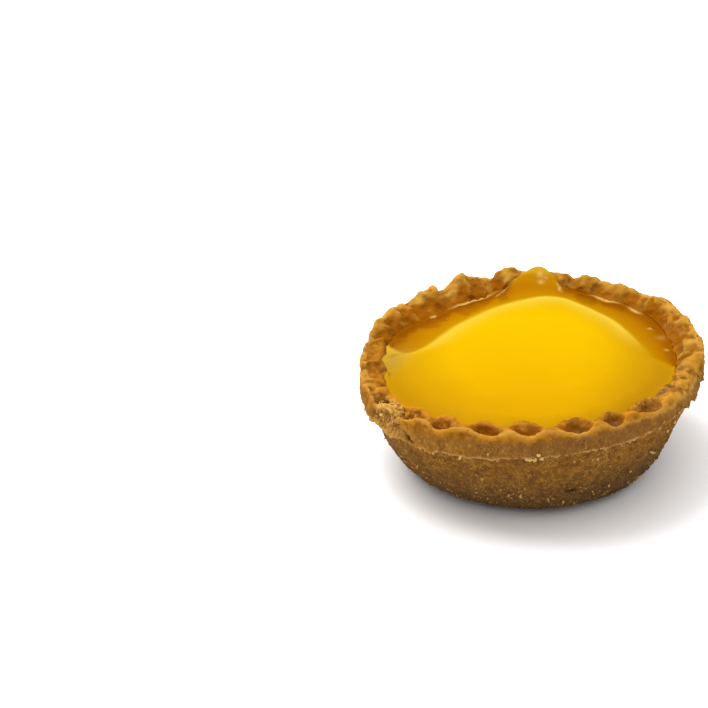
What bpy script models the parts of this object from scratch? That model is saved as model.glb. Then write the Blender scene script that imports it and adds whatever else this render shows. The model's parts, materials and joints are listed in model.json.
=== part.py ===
"""A small round lemon curd tart: a hand-crimped shortcrust pastry case full of glossy lemon curd.

The tart stands on the middle of its flat base at the origin with its rim up, +Z.
Sizes below are in millimetres and degrees. Angles are measured around Z from +X.
"""

import math

import bmesh
import bpy

MM = 0.001
TOUCHING_GAP = 0.3

# Pastry case, as a plain turned bowl before it is crimped
BASE_RADIUS = 23.4
BASE_FLAT_RADIUS = 21.6
FLOOR_THICKNESS = 3.6
LIP_LINE_HEIGHT = 17.75
WALL_TOP_RADIUS = 33.0
WALL_BULGE = 2.2
WALL_BULGE_POWER = 0.7
BAND_BOTTOM_RADIUS = 35.15
RIM_HEIGHT = 23.75
RIM_OUTER_RADIUS = 34.4
RIM_INNER_RADIUS = 30.0
CAVITY_TOP = (28.9, 17.4)
CAVITY_FLOOR_RADIUS = 19.0
CASE_STEPS = 192

# Crimping: 24 thumb marks pressed into the rim, unevenly spaced by hand
CRIMPS = 24
CRIMP_START = -4.9
CRIMP_SPACING = (
    (1, 3.23, 4),
    (2, 2.23, 20),
    (3, 1.44, 38),
    (10, 0.54, -20),
    (11, 0.62, -17),
    (12, 0.72, -124),
)
RIDGE_SHARPNESS = 1.35
RIDGE_SLANTS = ((257.0, 13.0, 5.0), (90.0, 55.0, -4.0))
LIP_WAVE_OUT = 0.45
BUMP_WAVE_IN = 0.65

# Rows across the rim from the filling outwards: the share of the rim's width,
# how low the row lies on a level ridge and how low in the middle of a thumb mark
RIM_ROWS = (
    (0.00, 1.4, 3.1),
    (0.06, 0.5, 1.5),
    (0.15, 0.15, 0.75),
    (0.27, 0.0, 0.95),
    (0.42, 0.0, 2.4),
    (0.58, 0.0, 3.3),
    (0.72, 0.0, 3.7),
    (0.83, 0.0, 3.1),
    (0.90, 0.0, 2.0),
    (0.96, 0.2, 1.75),
    (1.00, 0.9, 2.3),
)
RIDGE_FALL = 1.9
RIDGE_FALL_WAVES = ((1, 0.7, -80),)
RIDGE_FALL_END = 0.9

# Stretches of the rim as (middle, half width) in degrees, each fading out at its ends. Along the left
# and the back the marks run out to the filling, and in front a low bump closes them. The ridges at the
# back are broad lobes, and the marks at the right are faint
STRETCH_FADE = 14.0
OPEN_MARKS = ((180.0, 30.0), (125.0, 40.0), (50.0, 40.0))
OPEN_MARK_END = 0.5
OPEN_SILL_RISE = 0.2
OPEN_RIB_FALL = 1.4
LOBES = ((85.0, 76.0),)
LOBE_SHARPNESS = 0.7
FAINT_MARKS = ((-2.0, 32.0),)
FAINTNESS = 0.5

# The rim is out of true: slow waves as (waves in a turn, size, where the wave is highest)
RIM_RADIUS_WAVES = ((1, 0.64, 150), (2, 0.85, 98), (3, 0.42, 55), (4, 0.55, 158))
RIM_HEIGHT_WAVES = ((1, 0.87, -29), (2, 0.77, 179))
LIP_LINE_WAVES = ((1, 1.08, -8), (2, 0.71, -137))
WALL_WAVES = ((1, 1.5, -15),)
BAND_FLARE_WAVES = ((1, 0.72, -38),)

# A chip in the near left of the rim, and the rise at the back where the filling ran over
CHIP_ANGLE = 216.0
CHIP_HALF_WIDTH = 8.5
CHIP_DROP = 1.1
CHIP_INWARD = 0.7
BACK_RISE_ANGLE = 97.0
BACK_RISE_WIDTH = 10.0
BACK_RISE = 1.6

# Lemon curd
CURD_STEPS = 96
CURD_EDGE_RADIUS = 28.95
CURD_EDGE_HEIGHT = 20.6
CURD_EDGE_ROUND = 0.5
CURD_LEVEL_WAVES = ((1, 1.3, 35),)
CURD_DOME = 2.3
CURD_DOME_POWER = 2.6
CURD_DOME_ROWS = (0.97, 0.9, 0.78, 0.6, 0.38, 0.18)

# The tongue of curd that ran over the rim at the back
SPILL_ANGLE = 89.0
SPILL_MIDDLE = (30.4, 23.25)
SPILL_HALF_SIZE = (5.0, 5.6, 1.45)
SPILL_LEAN = 14.0
SPILL_TAPER = 0.42
SPILL_RISE = 2.3
SPILL_RISE_WIDTH = 11.0

# Colours
CRUST_COLOUR = (0.36, 0.165, 0.04)
CURD_COLOUR = (0.92, 0.52, 0.006)


def waves(angle, terms):
    """The sum of slow waves around the tart at an angle in radians."""
    return sum(size * math.cos(count * angle - math.radians(peak)) for count, size, peak in terms)


def smooth(value):
    """0 below 0, 1 above 1, and an even slope between them."""
    value = min(max(value, 0.0), 1.0)
    return value * value * (3.0 - 2.0 * value)


def degrees_from(angle, middle):
    """How many degrees an angle in radians lies from a middle in degrees, either way round."""
    return (math.degrees(angle) - middle + 180.0) % 360.0 - 180.0


def share_in(angle, stretches):
    """1 inside any of the stretches of the rim, 0 outside them."""
    inside = [half - abs(degrees_from(angle, middle)) for middle, half in stretches]
    return smooth(max(inside) / STRETCH_FADE + 0.5)


def ridge_share(angle, share=1.0):
    """1 on the ridge between two thumb marks, 0 in the middle of a mark, at a share of the rim's width."""
    sharpness = RIDGE_SHARPNESS + (LOBE_SHARPNESS - RIDGE_SHARPNESS) * share_in(angle, LOBES)
    slant = sum(size * math.exp(-(degrees_from(angle, at) / width) ** 2) for at, width, size in RIDGE_SLANTS)
    angle += math.radians(slant * min(1.0, 1.0 - share))
    pitch = 360.0 / CRIMPS
    turn = (math.degrees(angle) - CRIMP_START - waves(angle, CRIMP_SPACING)) / pitch
    return (0.5 + 0.5 * math.cos(2.0 * math.pi * turn)) ** sharpness


def chip_share(angle):
    """1 inside the chip in the rim, falling away steeply at both of its ends."""
    off = abs(degrees_from(angle, CHIP_ANGLE))
    return smooth((CHIP_HALF_WIDTH - off) / 2.0 + 0.5)


def crest_height(angle):
    """Height of the top of the ridges at an angle."""
    rise = BACK_RISE * math.exp(-(degrees_from(angle, BACK_RISE_ANGLE) / BACK_RISE_WIDTH) ** 2)
    return RIM_HEIGHT + waves(angle, RIM_HEIGHT_WAVES) + rise


def row_depth(share, angle):
    """How far below the crest a point lies at a share of the rim's width."""
    opened = share_in(angle, OPEN_MARKS)
    fall = RIDGE_FALL + waves(angle, RIDGE_FALL_WAVES) - OPEN_RIB_FALL * opened
    fall *= max(0.0, 1.0 - share / RIDGE_FALL_END)
    _, on_ridge, in_mark = min(RIM_ROWS, key=lambda row: abs(row[0] - share))
    if share < OPEN_MARK_END:
        sill = crest_height(angle) - CURD_EDGE_HEIGHT - waves(angle, CURD_LEVEL_WAVES) - OPEN_SILL_RISE
        in_mark += opened * (max(sill, in_mark) - in_mark)
    on_ridge += fall
    in_mark += FAINTNESS * share_in(angle, FAINT_MARKS) * (on_ridge - in_mark)
    return in_mark + (on_ridge - in_mark) * ridge_share(angle, share)


def lean(angle, height):
    """How much wider the case is than a true circle at an angle and height."""
    share = smooth(height / LIP_LINE_HEIGHT)
    return 1.0 + share * waves(angle, RIM_RADIUS_WAVES) / RIM_OUTER_RADIUS


def wall_radius(share):
    """Outer radius of the lower wall, from the base (0) to the lip line (1)."""
    bulge = WALL_BULGE * math.sin(math.pi * share ** WALL_BULGE_POWER)
    return BASE_RADIUS + (WALL_TOP_RADIUS - BASE_RADIUS) * share + bulge


def cavity_profile():
    """Inside of the case from the middle of its floor up to the rim, as (radius, height)."""
    return [
        (0.0, FLOOR_THICKNESS),
        (CAVITY_FLOOR_RADIUS, FLOOR_THICKNESS),
        (21.4, FLOOR_THICKNESS + 1.0),
        (24.6, 8.6),
        (27.0, 13.2),
        CAVITY_TOP,
    ]


def case_profile():
    """Outline of the case before crimping: up the inside, across the rim and down the outside."""
    width = RIM_OUTER_RADIUS - RIM_INNER_RADIUS
    rim = [(RIM_INNER_RADIUS + share * width, RIM_HEIGHT) for share, _, _ in RIM_ROWS]
    band_drop = RIM_HEIGHT - LIP_LINE_HEIGHT
    band = [
        (RIM_OUTER_RADIUS + 0.15, LIP_LINE_HEIGHT + band_drop * 0.66),
        (RIM_OUTER_RADIUS + 0.45, LIP_LINE_HEIGHT + band_drop * 0.28),
        (BAND_BOTTOM_RADIUS, LIP_LINE_HEIGHT),
    ]
    wall = [(wall_radius(share), LIP_LINE_HEIGHT * share) for share in (0.985, 0.8, 0.6, 0.42, 0.26, 0.12)]
    base = [(BASE_RADIUS - 0.5, 0.45), (BASE_FLAT_RADIUS, 0.0), (0.0, 0.0)]
    return cavity_profile() + rim + band + wall + base


def crimp_case(radius, angle, height):
    """Moves a point of the plain turned case to where the crimped case has it."""
    share = (radius - RIM_INNER_RADIUS) / (RIM_OUTER_RADIUS - RIM_INNER_RADIUS)
    ridge = ridge_share(angle, min(max(share, 0.0), 1.0))
    chip = chip_share(angle)
    crest = crest_height(angle)
    lip_line = LIP_LINE_HEIGHT + waves(angle, LIP_LINE_WAVES)
    true_radius = radius * lean(angle, height)
    outer_top = crest - row_depth(1.0, angle) - CHIP_DROP * chip
    if height > RIM_HEIGHT - 0.001:
        lip = smooth((share - 0.75) / 0.2)
        bump = 1.0 - smooth(share / 0.45)
        inward = BUMP_WAVE_IN * (1.0 - share_in(angle, OPEN_MARKS)) * bump
        true_radius += (1.0 - ridge) * (LIP_WAVE_OUT * lip - inward) - CHIP_INWARD * chip * lip
        return true_radius, crest - row_depth(share, angle) - CHIP_DROP * chip * smooth(share / 0.8)
    if height > LIP_LINE_HEIGHT - 0.001 and radius > RIM_OUTER_RADIUS:
        up = (height - LIP_LINE_HEIGHT) / (RIM_HEIGHT - LIP_LINE_HEIGHT)
        flare = (1.0 - up) * waves(angle, BAND_FLARE_WAVES)
        true_radius += flare + LIP_WAVE_OUT * (1.0 - ridge) * up * up - CHIP_INWARD * chip * up
        return true_radius, lip_line + (outer_top - lip_line) * up
    up = height / LIP_LINE_HEIGHT
    if height > 0.5 and abs(radius - wall_radius(up)) < 0.01:
        return true_radius + up * up * waves(angle, WALL_WAVES), up * lip_line
    return true_radius, height


def curd_profile():
    """Outline of the filling, from the middle of its dome out to the edge and down round its underside."""
    inner = cavity_profile()
    under = [(0.0, FLOOR_THICKNESS + TOUCHING_GAP)]
    under += [(radius - TOUCHING_GAP, height + TOUCHING_GAP) for radius, height in inner[1:]]
    edge = [(CURD_EDGE_RADIUS, CURD_EDGE_HEIGHT - CURD_EDGE_ROUND)]
    dome = [(CURD_EDGE_RADIUS * share, dome_height(share)) for share in CURD_DOME_ROWS]
    top = edge + dome + [(0.0, dome_height(0.0))]
    return (under + top)[::-1]


def dome_height(share):
    """Height of the curd's top at a share of its radius."""
    return CURD_EDGE_HEIGHT + CURD_DOME * (1.0 - share ** CURD_DOME_POWER)


def settle_curd(radius, angle, height):
    """Moves a point of the turned filling to fit the uneven case, low on the left and up to the spill."""
    share = smooth((height - 16.5) / 3.0) * radius / CURD_EDGE_RADIUS
    rise = SPILL_RISE * math.exp(-(degrees_from(angle, SPILL_ANGLE) / SPILL_RISE_WIDTH) ** 2)
    level = share * waves(angle, CURD_LEVEL_WAVES) + share ** 6 * rise
    return radius * lean(angle, height), height + level


def collection(name):
    """A new collection in the scene."""
    made = bpy.data.collections.new(name)
    bpy.context.scene.collection.children.link(made)
    return made


def place(obj, group):
    """Moves an object into one collection."""
    for old in list(obj.users_collection):
        old.objects.unlink(obj)
    group.objects.link(obj)


def turned(name, profile, steps, group):
    """A solid turned around Z from an outline of (radius, height) points."""
    mesh = bpy.data.meshes.new(name)
    points = [(radius * MM, 0.0, height * MM) for radius, height in profile]
    mesh.from_pydata(points, [(i, i + 1) for i in range(len(points) - 1)], [])
    obj = bpy.data.objects.new(name, mesh)
    group.objects.link(obj)
    screw = obj.modifiers.new("turn", "SCREW")
    screw.axis = "Z"
    screw.angle = 2.0 * math.pi
    screw.steps = steps
    screw.render_steps = steps
    screw.use_merge_vertices = True
    screw.merge_threshold = 0.00001
    bpy.context.view_layer.objects.active = obj
    obj.select_set(True)
    bpy.ops.object.modifier_apply(modifier=screw.name)
    obj.select_set(False)
    return obj


def reshape(obj, rule):
    """Moves every vertex of a turned solid by a rule of its radius, angle and height."""
    for vertex in obj.data.vertices:
        x, y, z = (value / MM for value in vertex.co)
        angle = math.atan2(y, x)
        radius, height = rule(math.hypot(x, y), angle, z)
        vertex.co = (radius * math.cos(angle) * MM, radius * math.sin(angle) * MM, height * MM)


def tongue(name, extra, group):
    """The egg-shaped tongue of spilt curd, narrow end out over the rim, grown by extra all round."""
    out, height = SPILL_MIDDLE
    angle = math.radians(SPILL_ANGLE)
    middle = (out * math.cos(angle) * MM, out * math.sin(angle) * MM, height * MM)
    bpy.ops.mesh.primitive_uv_sphere_add(segments=28, ring_count=12, radius=1.0, location=(0.0, 0.0, 0.0))
    obj = bpy.context.active_object
    obj.name = name
    obj.data.name = name
    for vertex in obj.data.vertices:
        vertex.co.y *= 1.0 - SPILL_TAPER * vertex.co.x
    obj.scale = [(half + extra) * MM for half in SPILL_HALF_SIZE]
    obj.rotation_euler = (0.0, -math.radians(SPILL_LEAN), angle)
    obj.location = middle
    bpy.ops.object.transform_apply(location=True, rotation=True, scale=True)
    obj.hide_render = True
    obj.display_type = "WIRE"
    place(obj, group)
    return obj


def boolean(obj, other, operation):
    """Cuts another solid out of an object or joins it on."""
    modifier = obj.modifiers.new(operation.lower(), "BOOLEAN")
    modifier.operation = operation
    modifier.solver = "EXACT"
    modifier.object = other


def material(name, colour, roughness, coat):
    """A plain Principled material."""
    made = bpy.data.materials.new(name)
    made.use_nodes = True
    shader = made.node_tree.nodes["Principled BSDF"]
    shader.inputs["Base Color"].default_value = (*colour, 1.0)
    shader.inputs["Roughness"].default_value = roughness
    shader.inputs["Coat Weight"].default_value = coat
    made.diffuse_color = (*colour, 1.0)
    return made


def finish(obj, surface):
    """Gives an object its one material and smooth shading, with its faces facing out."""
    obj.data.materials.clear()
    obj.data.materials.append(surface)
    work = bmesh.new()
    work.from_mesh(obj.data)
    bmesh.ops.recalc_face_normals(work, faces=work.faces)
    work.to_mesh(obj.data)
    work.free()
    for face in obj.data.polygons:
        face.use_smooth = True


for old_object in list(bpy.data.objects):
    bpy.data.objects.remove(old_object, do_unlink=True)

tart = collection("lemon_curd_tart")
cutters = collection("cutters")

pastry_case = turned("pastry_case", case_profile(), CASE_STEPS, tart)
reshape(pastry_case, crimp_case)
finish(pastry_case, material("shortcrust", CRUST_COLOUR, 0.85, 0.0))

lemon_curd = turned("lemon_curd", curd_profile(), CURD_STEPS, tart)
reshape(lemon_curd, settle_curd)
finish(lemon_curd, material("lemon_curd", CURD_COLOUR, 0.12, 0.5))

spill = tongue("spill", 0.0, cutters)
spill_clearance = tongue("spill_clearance", TOUCHING_GAP, cutters)
boolean(lemon_curd, spill, "UNION")
boolean(pastry_case, spill_clearance, "DIFFERENCE")
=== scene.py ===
import json
import math
import random

import bpy
import numpy as np
from mathutils import Matrix, Vector, noise
from mathutils.bvhtree import BVHTree

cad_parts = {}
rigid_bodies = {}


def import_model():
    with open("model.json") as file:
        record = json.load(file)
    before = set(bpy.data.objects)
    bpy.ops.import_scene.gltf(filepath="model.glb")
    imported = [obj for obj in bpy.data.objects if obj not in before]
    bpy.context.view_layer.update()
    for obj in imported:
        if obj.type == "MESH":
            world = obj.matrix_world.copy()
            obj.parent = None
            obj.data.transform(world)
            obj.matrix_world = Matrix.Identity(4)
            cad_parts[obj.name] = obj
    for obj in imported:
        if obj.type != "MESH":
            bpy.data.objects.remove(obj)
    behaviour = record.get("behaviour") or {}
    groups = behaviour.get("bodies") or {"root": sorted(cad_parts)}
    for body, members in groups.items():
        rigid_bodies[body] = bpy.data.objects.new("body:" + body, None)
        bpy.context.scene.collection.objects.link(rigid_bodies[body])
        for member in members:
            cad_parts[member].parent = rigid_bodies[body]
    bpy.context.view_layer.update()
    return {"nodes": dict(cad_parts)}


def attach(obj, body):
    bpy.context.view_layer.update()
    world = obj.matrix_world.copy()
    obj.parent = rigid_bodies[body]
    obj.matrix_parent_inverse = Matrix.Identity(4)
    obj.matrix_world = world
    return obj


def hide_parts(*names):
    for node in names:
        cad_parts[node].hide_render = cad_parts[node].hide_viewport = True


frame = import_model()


# ---- Shortcrust case ------------------------------------------------------------------------
# A hand-made shortcrust case: a disc of crumbly, sandy dough pressed into a round tin, folded over
# its edge and crimped with the thumb all round, then baked golden brown. The fold's lower edge is
# ragged, the near left of the rim has crumbled away, and the back is wet where the curd boiled up.

# Sizes are in mm and angles in degrees: 0 is +X, the right, and 90 is the back
MM = 0.001
CASE_GRAIN = 0.36
RIM_RADIUS = 31.8
LIP_LINE_HEIGHT = 17.75
FILL_HEIGHT = 20.6
CREST_RADIUS = 33.5
CHIP_START, CHIP_SIDE = 206.5, 231.0
WALL_MM_PER_DEGREE = 0.51
PIT_ANGLE, PIT_HEIGHT, PIT_HALF_LENGTH, PIT_HALF_WIDTH, PIT_DEPTH = 287.0, 7.5, 1.15, 0.45, 0.9
CLEFT_DEPTH, LEANING_DEPTH, BULGE, WIDENING = 1.4, 0.9, 0.8, 0.9

# Slow waves round the tart: how many in a turn, size, angle of the highest point
LIP_LINE_WAVES = ((1, 1.08, -8), (2, 0.71, -137))
FILL_WAVES = ((1, 1.3, 35),)

# Stretches of the turn: middle, half width, and how much of that fades out
TRAYS_AT = (184.0, 24.0, 6.0)
CRAGS_AT = (-20.0, 24.0, 10.0)
FRONT_AT = (278.0, 62.0, 14.0)
BANK_AT = (77.0, 90.0, 8.0)
LONG_FOLDS_AT = (134.0, 34.0, 8.0)
ROUGH_BACK_AT = (85.0, 78.0, 20.0)
ROUGH_RIGHT_AT = (0.0, 46.0, 20.0)
LEANING_AT = (-25.0, 52.0, 25.0)
WET_AT = (87.0, 88.0, 14.0)
BROWNED_AT = (235.0, 100.0, 30.0)
FAR_SIDE_AT = (95.0, 110.0, 20.0)

# The left's thin ridges: angle, and how many degrees they slant over a mm outwards
LEFT_RIDGES = ((168.0, 0.9), (185.0, 0.3), (199.5, -0.5), (211.0, -1.0))

# The crumbled stretch's front end: height, angle
CHIP_END = ((16.5, 233.5), (17.6, 230.7), (18.5, 228.7), (19.7, 225.1), (21.0, 222.7), (22.0, 218.4),
            (23.0, 216.0))

# The tongue of curd: distance from the axis, then the angle of its middle or half its width
TONGUE_MIDDLE = ((28.2, 92.0), (29.7, 90.5), (31.8, 88.4), (35.0, 87.5))
TONGUE_HALF_WIDTH = ((28.2, 7.0), (29.7, 6.0), (30.5, 4.8), (31.8, 3.5), (33.0, 2.8), (35.0, 2.3))

# The rim's crest along the back: angle, height
CREST = ((0, 24.8), (8, 25.2), (12.5, 24.8), (19.5, 25.1), (24.5, 25.2), (29, 24.7), (33, 24.4),
         (36.5, 24.8), (39.5, 25.1), (42.5, 24.7), (45.5, 24.0), (48.5, 23.9), (51, 24.2), (54, 24.6),
         (56.5, 24.9), (59, 24.4), (61, 24.0), (63.5, 24.1), (66, 23.8), (68, 24.8), (70.5, 24.6),
         (73, 24.1), (75, 23.7), (77, 23.0), (79, 23.3), (81, 24.1), (83.5, 24.2), (94, 24.2),
         (95.5, 24.5), (96.5, 25.4), (98.5, 25.4), (100.5, 25.0), (102.5, 24.3), (105, 22.7),
         (108, 22.7), (110, 23.8), (112, 24.3), (116.5, 24.7), (119.5, 23.6), (123, 21.7),
         (127.5, 23.2), (130, 23.9), (133, 23.5), (135.5, 22.5), (140.5, 22.2), (145, 22.6),
         (149.5, 23.0), (151.5, 22.6), (154.5, 22.3), (157, 22.7), (160, 23.3), (163, 22.7),
         (166, 22.5), (172, 22.8), (355, 24.8), (360, 24.8))

# The foot of the bank inside it: angle, distance from the axis
BANK_FOOT = ((0.0, 28.6), (7.5, 28.5), (18.0, 28.5), (26.0, 28.1), (35.5, 28.0), (40.0, 28.1),
             (49.0, 28.8), (54.5, 29.9), (61.0, 29.5), (66.0, 30.3), (75.0, 30.2), (100.0, 30.2),
             (103.0, 30.0), (110.0, 28.5), (119.5, 27.9), (129.0, 27.8), (137.0, 27.1), (144.0, 28.3),
             (150.0, 29.0), (155.0, 29.6), (170.0, 29.8), (350.0, 28.6), (360.0, 28.6))

# Wet stains on the bank: angle, height, strength
STAINS = ((131.3, 21.5, 1.0), (116.0, 21.8, 1.0), (103.5, 22.5, 0.8), (147.5, 21.5, 0.9),
          (158.0, 21.4, 0.6), (38.0, 23.2, 0.7), (29.0, 23.4, 0.8), (20.0, 23.2, 0.6),
          (12.0, 23.0, 0.7), (49.0, 22.8, 0.5), (60.0, 22.7, 0.7), (72.0, 22.6, 0.6))

# The case's inside under the curd: height, radius
INSIDE = ((3.3, 19.4), (4.6, 21.4), (8.6, 24.6), (13.2, 27.0), (17.4, 28.9))

# The dough's relief: name, kind of noise, size of its features, strength, and where it lies
RELIEF = (
    ("swelling", "CLOUDS", 5.5, 0.55, "dough"),
    ("uneven", "CLOUDS", 3.4, 1.60, "uneven"),
    ("crags", "CLOUDS", 1.3, 0.75, "craggy"),
    ("lumps", "CLOUDS", 1.6, 0.36, "dough"),
    ("sand", "VORONOI", 0.85, -0.36, "sand"),
    ("grit", "CLOUDS", 0.62, 0.26, "sand"),
    ("crumble", "VORONOI", 0.95, -0.70, "crumbly"),
)


def only(piece):
    """Leaves one object selected and active."""
    bpy.ops.object.select_all(action="DESELECT")
    piece.select_set(True)
    bpy.context.view_layer.objects.active = piece


def node_copy(name, node):
    """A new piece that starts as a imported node's own mesh, with its loose triangles joined up."""
    piece = bpy.data.objects.new(name, frame["nodes"][node].data.copy())
    piece.data.name = name
    bpy.context.scene.collection.objects.link(piece)
    only(piece)
    bpy.ops.object.mode_set(mode="EDIT")
    bpy.ops.mesh.select_all(action="SELECT")
    bpy.ops.mesh.remove_doubles(threshold=0.001 * MM)
    bpy.ops.object.mode_set(mode="OBJECT")
    return piece


def apply(piece, kind, **settings):
    """Adds one modifier with its settings and applies it."""
    only(piece)
    modifier = piece.modifiers.new(kind.lower(), kind)
    for name, value in settings.items():
        setattr(modifier, name, value)
    bpy.ops.object.modifier_apply(modifier=modifier.name)


def get_points(piece, what="co"):
    """The places (in mm) or the normals of a piece's vertices, as rows of x, y, z."""
    values = np.empty(len(piece.data.vertices) * 3)
    piece.data.vertices.foreach_get(what, values)
    return values.reshape(-1, 3) / (MM if what == "co" else 1.0)


def set_points(piece, points):
    """Moves a piece's vertices to new places in mm."""
    piece.data.vertices.foreach_set("co", (points * MM).ravel())
    piece.data.update()


def polar(points):
    """Distance from the tart's axis, angle in degrees from +X, and height."""
    x, y, z = points.T
    return np.hypot(x, y), np.degrees(np.arctan2(y, x)) % 360.0, z


def outward(points):
    """The level direction from the tart's axis to each point."""
    out = points * (1.0, 1.0, 0.0)
    return out / np.maximum(np.linalg.norm(out, axis=1), 0.001)[:, None]


def smooth(value):
    """0 below 0, 1 above 1, and an eased rise between."""
    value = np.clip(value, 0.0, 1.0)
    return value * value * (3.0 - 2.0 * value)


def rising(value, start, over):
    """0 up to the start, from where it rises to 1 over a stretch."""
    return smooth((value - start) / over)


def falling(value, end, over):
    """0 from the end on, to which it falls from 1 over a stretch."""
    return smooth((end - value) / over)


def bell(*offsets):
    """1 in the middle and less all round it, from one or more (distance, width) pairs."""
    return np.exp(-sum((distance / width) ** 2 for distance, width in offsets))


def away(angle, middle):
    """Degrees from a middle, either way round."""
    return (angle - middle + 180.0) % 360.0 - 180.0


def stretch(angle, middle, half, fading):
    """1 along a stretch of the turn, fading to 0 at both its ends."""
    return falling(np.abs(away(angle, middle)), half, fading)


def waves(angle, terms):
    """Slow waves around the tart as (waves in a turn, size, angle of the highest point)."""
    return sum(size * np.cos(np.radians(count * angle - peak)) for count, size, peak in terms)


def read(table, places):
    """Reads a table of (place, value) pairs at any places."""
    return np.interp(places, *zip(*table))


def above_lip_line(angle, height):
    """How far each point lies above the fold's lower edge."""
    return height - LIP_LINE_HEIGHT - waves(angle, LIP_LINE_WAVES)


def fill_level(angle):
    """How high the filling stands against the crust."""
    return FILL_HEIGHT + waves(angle, FILL_WAVES)


def beside_tongue(radius, angle):
    """How far each point lies to one side of the middle of the curd's tongue."""
    return away(angle, read(TONGUE_MIDDLE, radius)) * np.radians(radius)


def whole(angle):
    """The nearest whole degree, from 0 to 359."""
    return np.round(angle).astype(int) % 360


def highest(angle, height, chosen, least):
    """The height of the highest chosen point at each of the 360 degrees."""
    tops = np.full(360, least)
    np.maximum.at(tops, whole(angle)[chosen], height[chosen])
    return tops


def lumps(points, size, seed):
    """Soft random lumps of about one size in mm, from -1 to 1, at every point."""
    shift = Vector((seed * 17.3, seed * 5.7, seed * 11.1))
    return np.array([noise.noise(Vector(p) / size + shift) for p in points])


def folds_up_bank(radius, angle):
    """Folds that run up the bank along the back, from -1 in a furrow to 1 on a fold."""
    return lumps(np.stack([angle * 0.55, radius * 0.5, 0.0 * angle], axis=1), 1.8, 27)


def paint(piece, name, values):
    """Keeps one number per vertex on the piece, for its material to read."""
    layer = piece.data.attributes.new(name, "FLOAT", "POINT")
    layer.data.foreach_set("value", np.asarray(values, dtype=np.float32))


def weigh(piece, name, values):
    """A vertex group with one weight per vertex."""
    group = piece.vertex_groups.new(name=name)
    for index, value in enumerate(values):
        if value > 0.001:
            group.add([index], float(value), "REPLACE")


def pick(piece, chosen):
    """Opens a piece in edit mode with the chosen vertices, and what lies between them, selected."""
    only(piece)
    bpy.ops.object.mode_set(mode="EDIT")
    bpy.ops.mesh.select_mode(type="VERT")
    bpy.ops.object.mode_set(mode="OBJECT")
    mesh = piece.data
    edges = [chosen[edge.vertices[0]] and chosen[edge.vertices[1]] for edge in mesh.edges]
    faces = [all(chosen[vertex] for vertex in face.vertices) for face in mesh.polygons]
    mesh.vertices.foreach_set("select", chosen)
    mesh.edges.foreach_set("select", edges)
    mesh.polygons.foreach_set("select", faces)
    bpy.ops.object.mode_set(mode="EDIT")


def standing_out(piece, rounds):
    """How far in mm each vertex stands out of the surface around it, less than 0 in a hollow."""
    points, normals = get_points(piece), get_points(piece, "normal")
    edges = np.empty(len(piece.data.edges) * 2, dtype=np.int64)
    piece.data.edges.foreach_get("vertices", edges)
    a, b = edges.reshape(-1, 2).T
    count = np.bincount(a, minlength=len(points)) + np.bincount(b, minlength=len(points))
    level = points.copy()
    for _ in range(rounds):
        for axis in range(3):
            column = level[:, axis]
            total = np.bincount(a, column[b], len(points)) + np.bincount(b, column[a], len(points))
            level[:, axis] = 0.5 * column + 0.5 * total / count
    return ((points - level) * normals).sum(axis=1)


case = node_copy("shortcrust_case", "pastry_case")
apply(case, "REMESH", mode="VOXEL", voxel_size=CASE_GRAIN * MM)

# The rim's even level: a smooth surface through the ridges and hollows of all its thumb marks
points = get_points(case)
normals = get_points(case, "normal")
radius, angle, height = polar(points)
out = outward(points)
facing_out = (normals * out).sum(axis=1)
on_rim = (normals[:, 2] > 0.15) & (radius > 28.8) & (radius < 34.8) & (height > 19.6)
ring = [np.ones_like(angle)]
for count in (1, 2, 3, 4):
    ring += [np.cos(np.radians(count * angle)), np.sin(np.radians(count * angle))]
across_rim = (radius - RIM_RADIUS) / 3.0
terms = np.stack([wave * across_rim ** power for wave in ring for power in range(4)], axis=1)
level = terms @ np.linalg.lstsq(terms[on_rim], height[on_rim], rcond=None)[0]
inner_wall = falling(facing_out, -0.25, 0.4) * falling(radius, 31.2, 0.8)
outer_wall = rising(facing_out, 0.25, 0.4) * rising(radius, 33.1, 0.6)
not_wall = (1.0 - inner_wall) * (1.0 - outer_wall)
on_top = rising(radius, 28.8, 0.8) * falling(radius, 35.2, 0.5) * (height > level - 3.2) * not_wall

# Along the left the marks are shallow trays between thin ridges, deeper beside each ridge
from_ridges = np.stack([away(angle, ridge + slant * (radius - RIM_RADIUS)) * np.radians(radius)
                        for ridge, slant in LEFT_RIDGES])
ridges = bell((np.abs(from_ridges).min(axis=0), 0.5))
hollows = bell((from_ridges + 1.8, 1.3)).max(axis=0) * rising(radius, 31.2, 1.5)
trays = level + 0.1 + 0.25 * lumps(points, 1.3, 21) + 0.85 * ridges - 0.55 * hollows
points[:, 2] += on_top * stretch(angle, *TRAYS_AT) * (trays - height)

# Along the right they are blurred and craggy
crags = level + 0.15 + 0.5 * lumps(points, 1.8, 22) + 0.2 * lumps(points, 0.8, 23)
points[:, 2] += 0.8 * on_top * stretch(angle, *CRAGS_AT) * (crags - height)

# At the front the ridges' outer ends are lower, the near right bulges, and the left is wider inwards
lowered = stretch(angle, *FRONT_AT) * rising(radius, 32.2, 1.2)
points[:, 2] -= 0.5 * lowered * np.maximum(height - level - 0.15, 0.0)
bulge = bell((away(angle, -25.0), 12.0)) * rising(radius, 32.4, 1.2) * rising(height, 17.4, 0.8)
points += out * (BULGE * bulge)[:, None]
wider = bell((away(angle, 190.0), 9.0)) * falling(radius, 31.8, 1.6) * rising(height, 18.6, 1.0)
points -= out * (WIDENING * wider * (radius > 27.5))[:, None]

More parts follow.
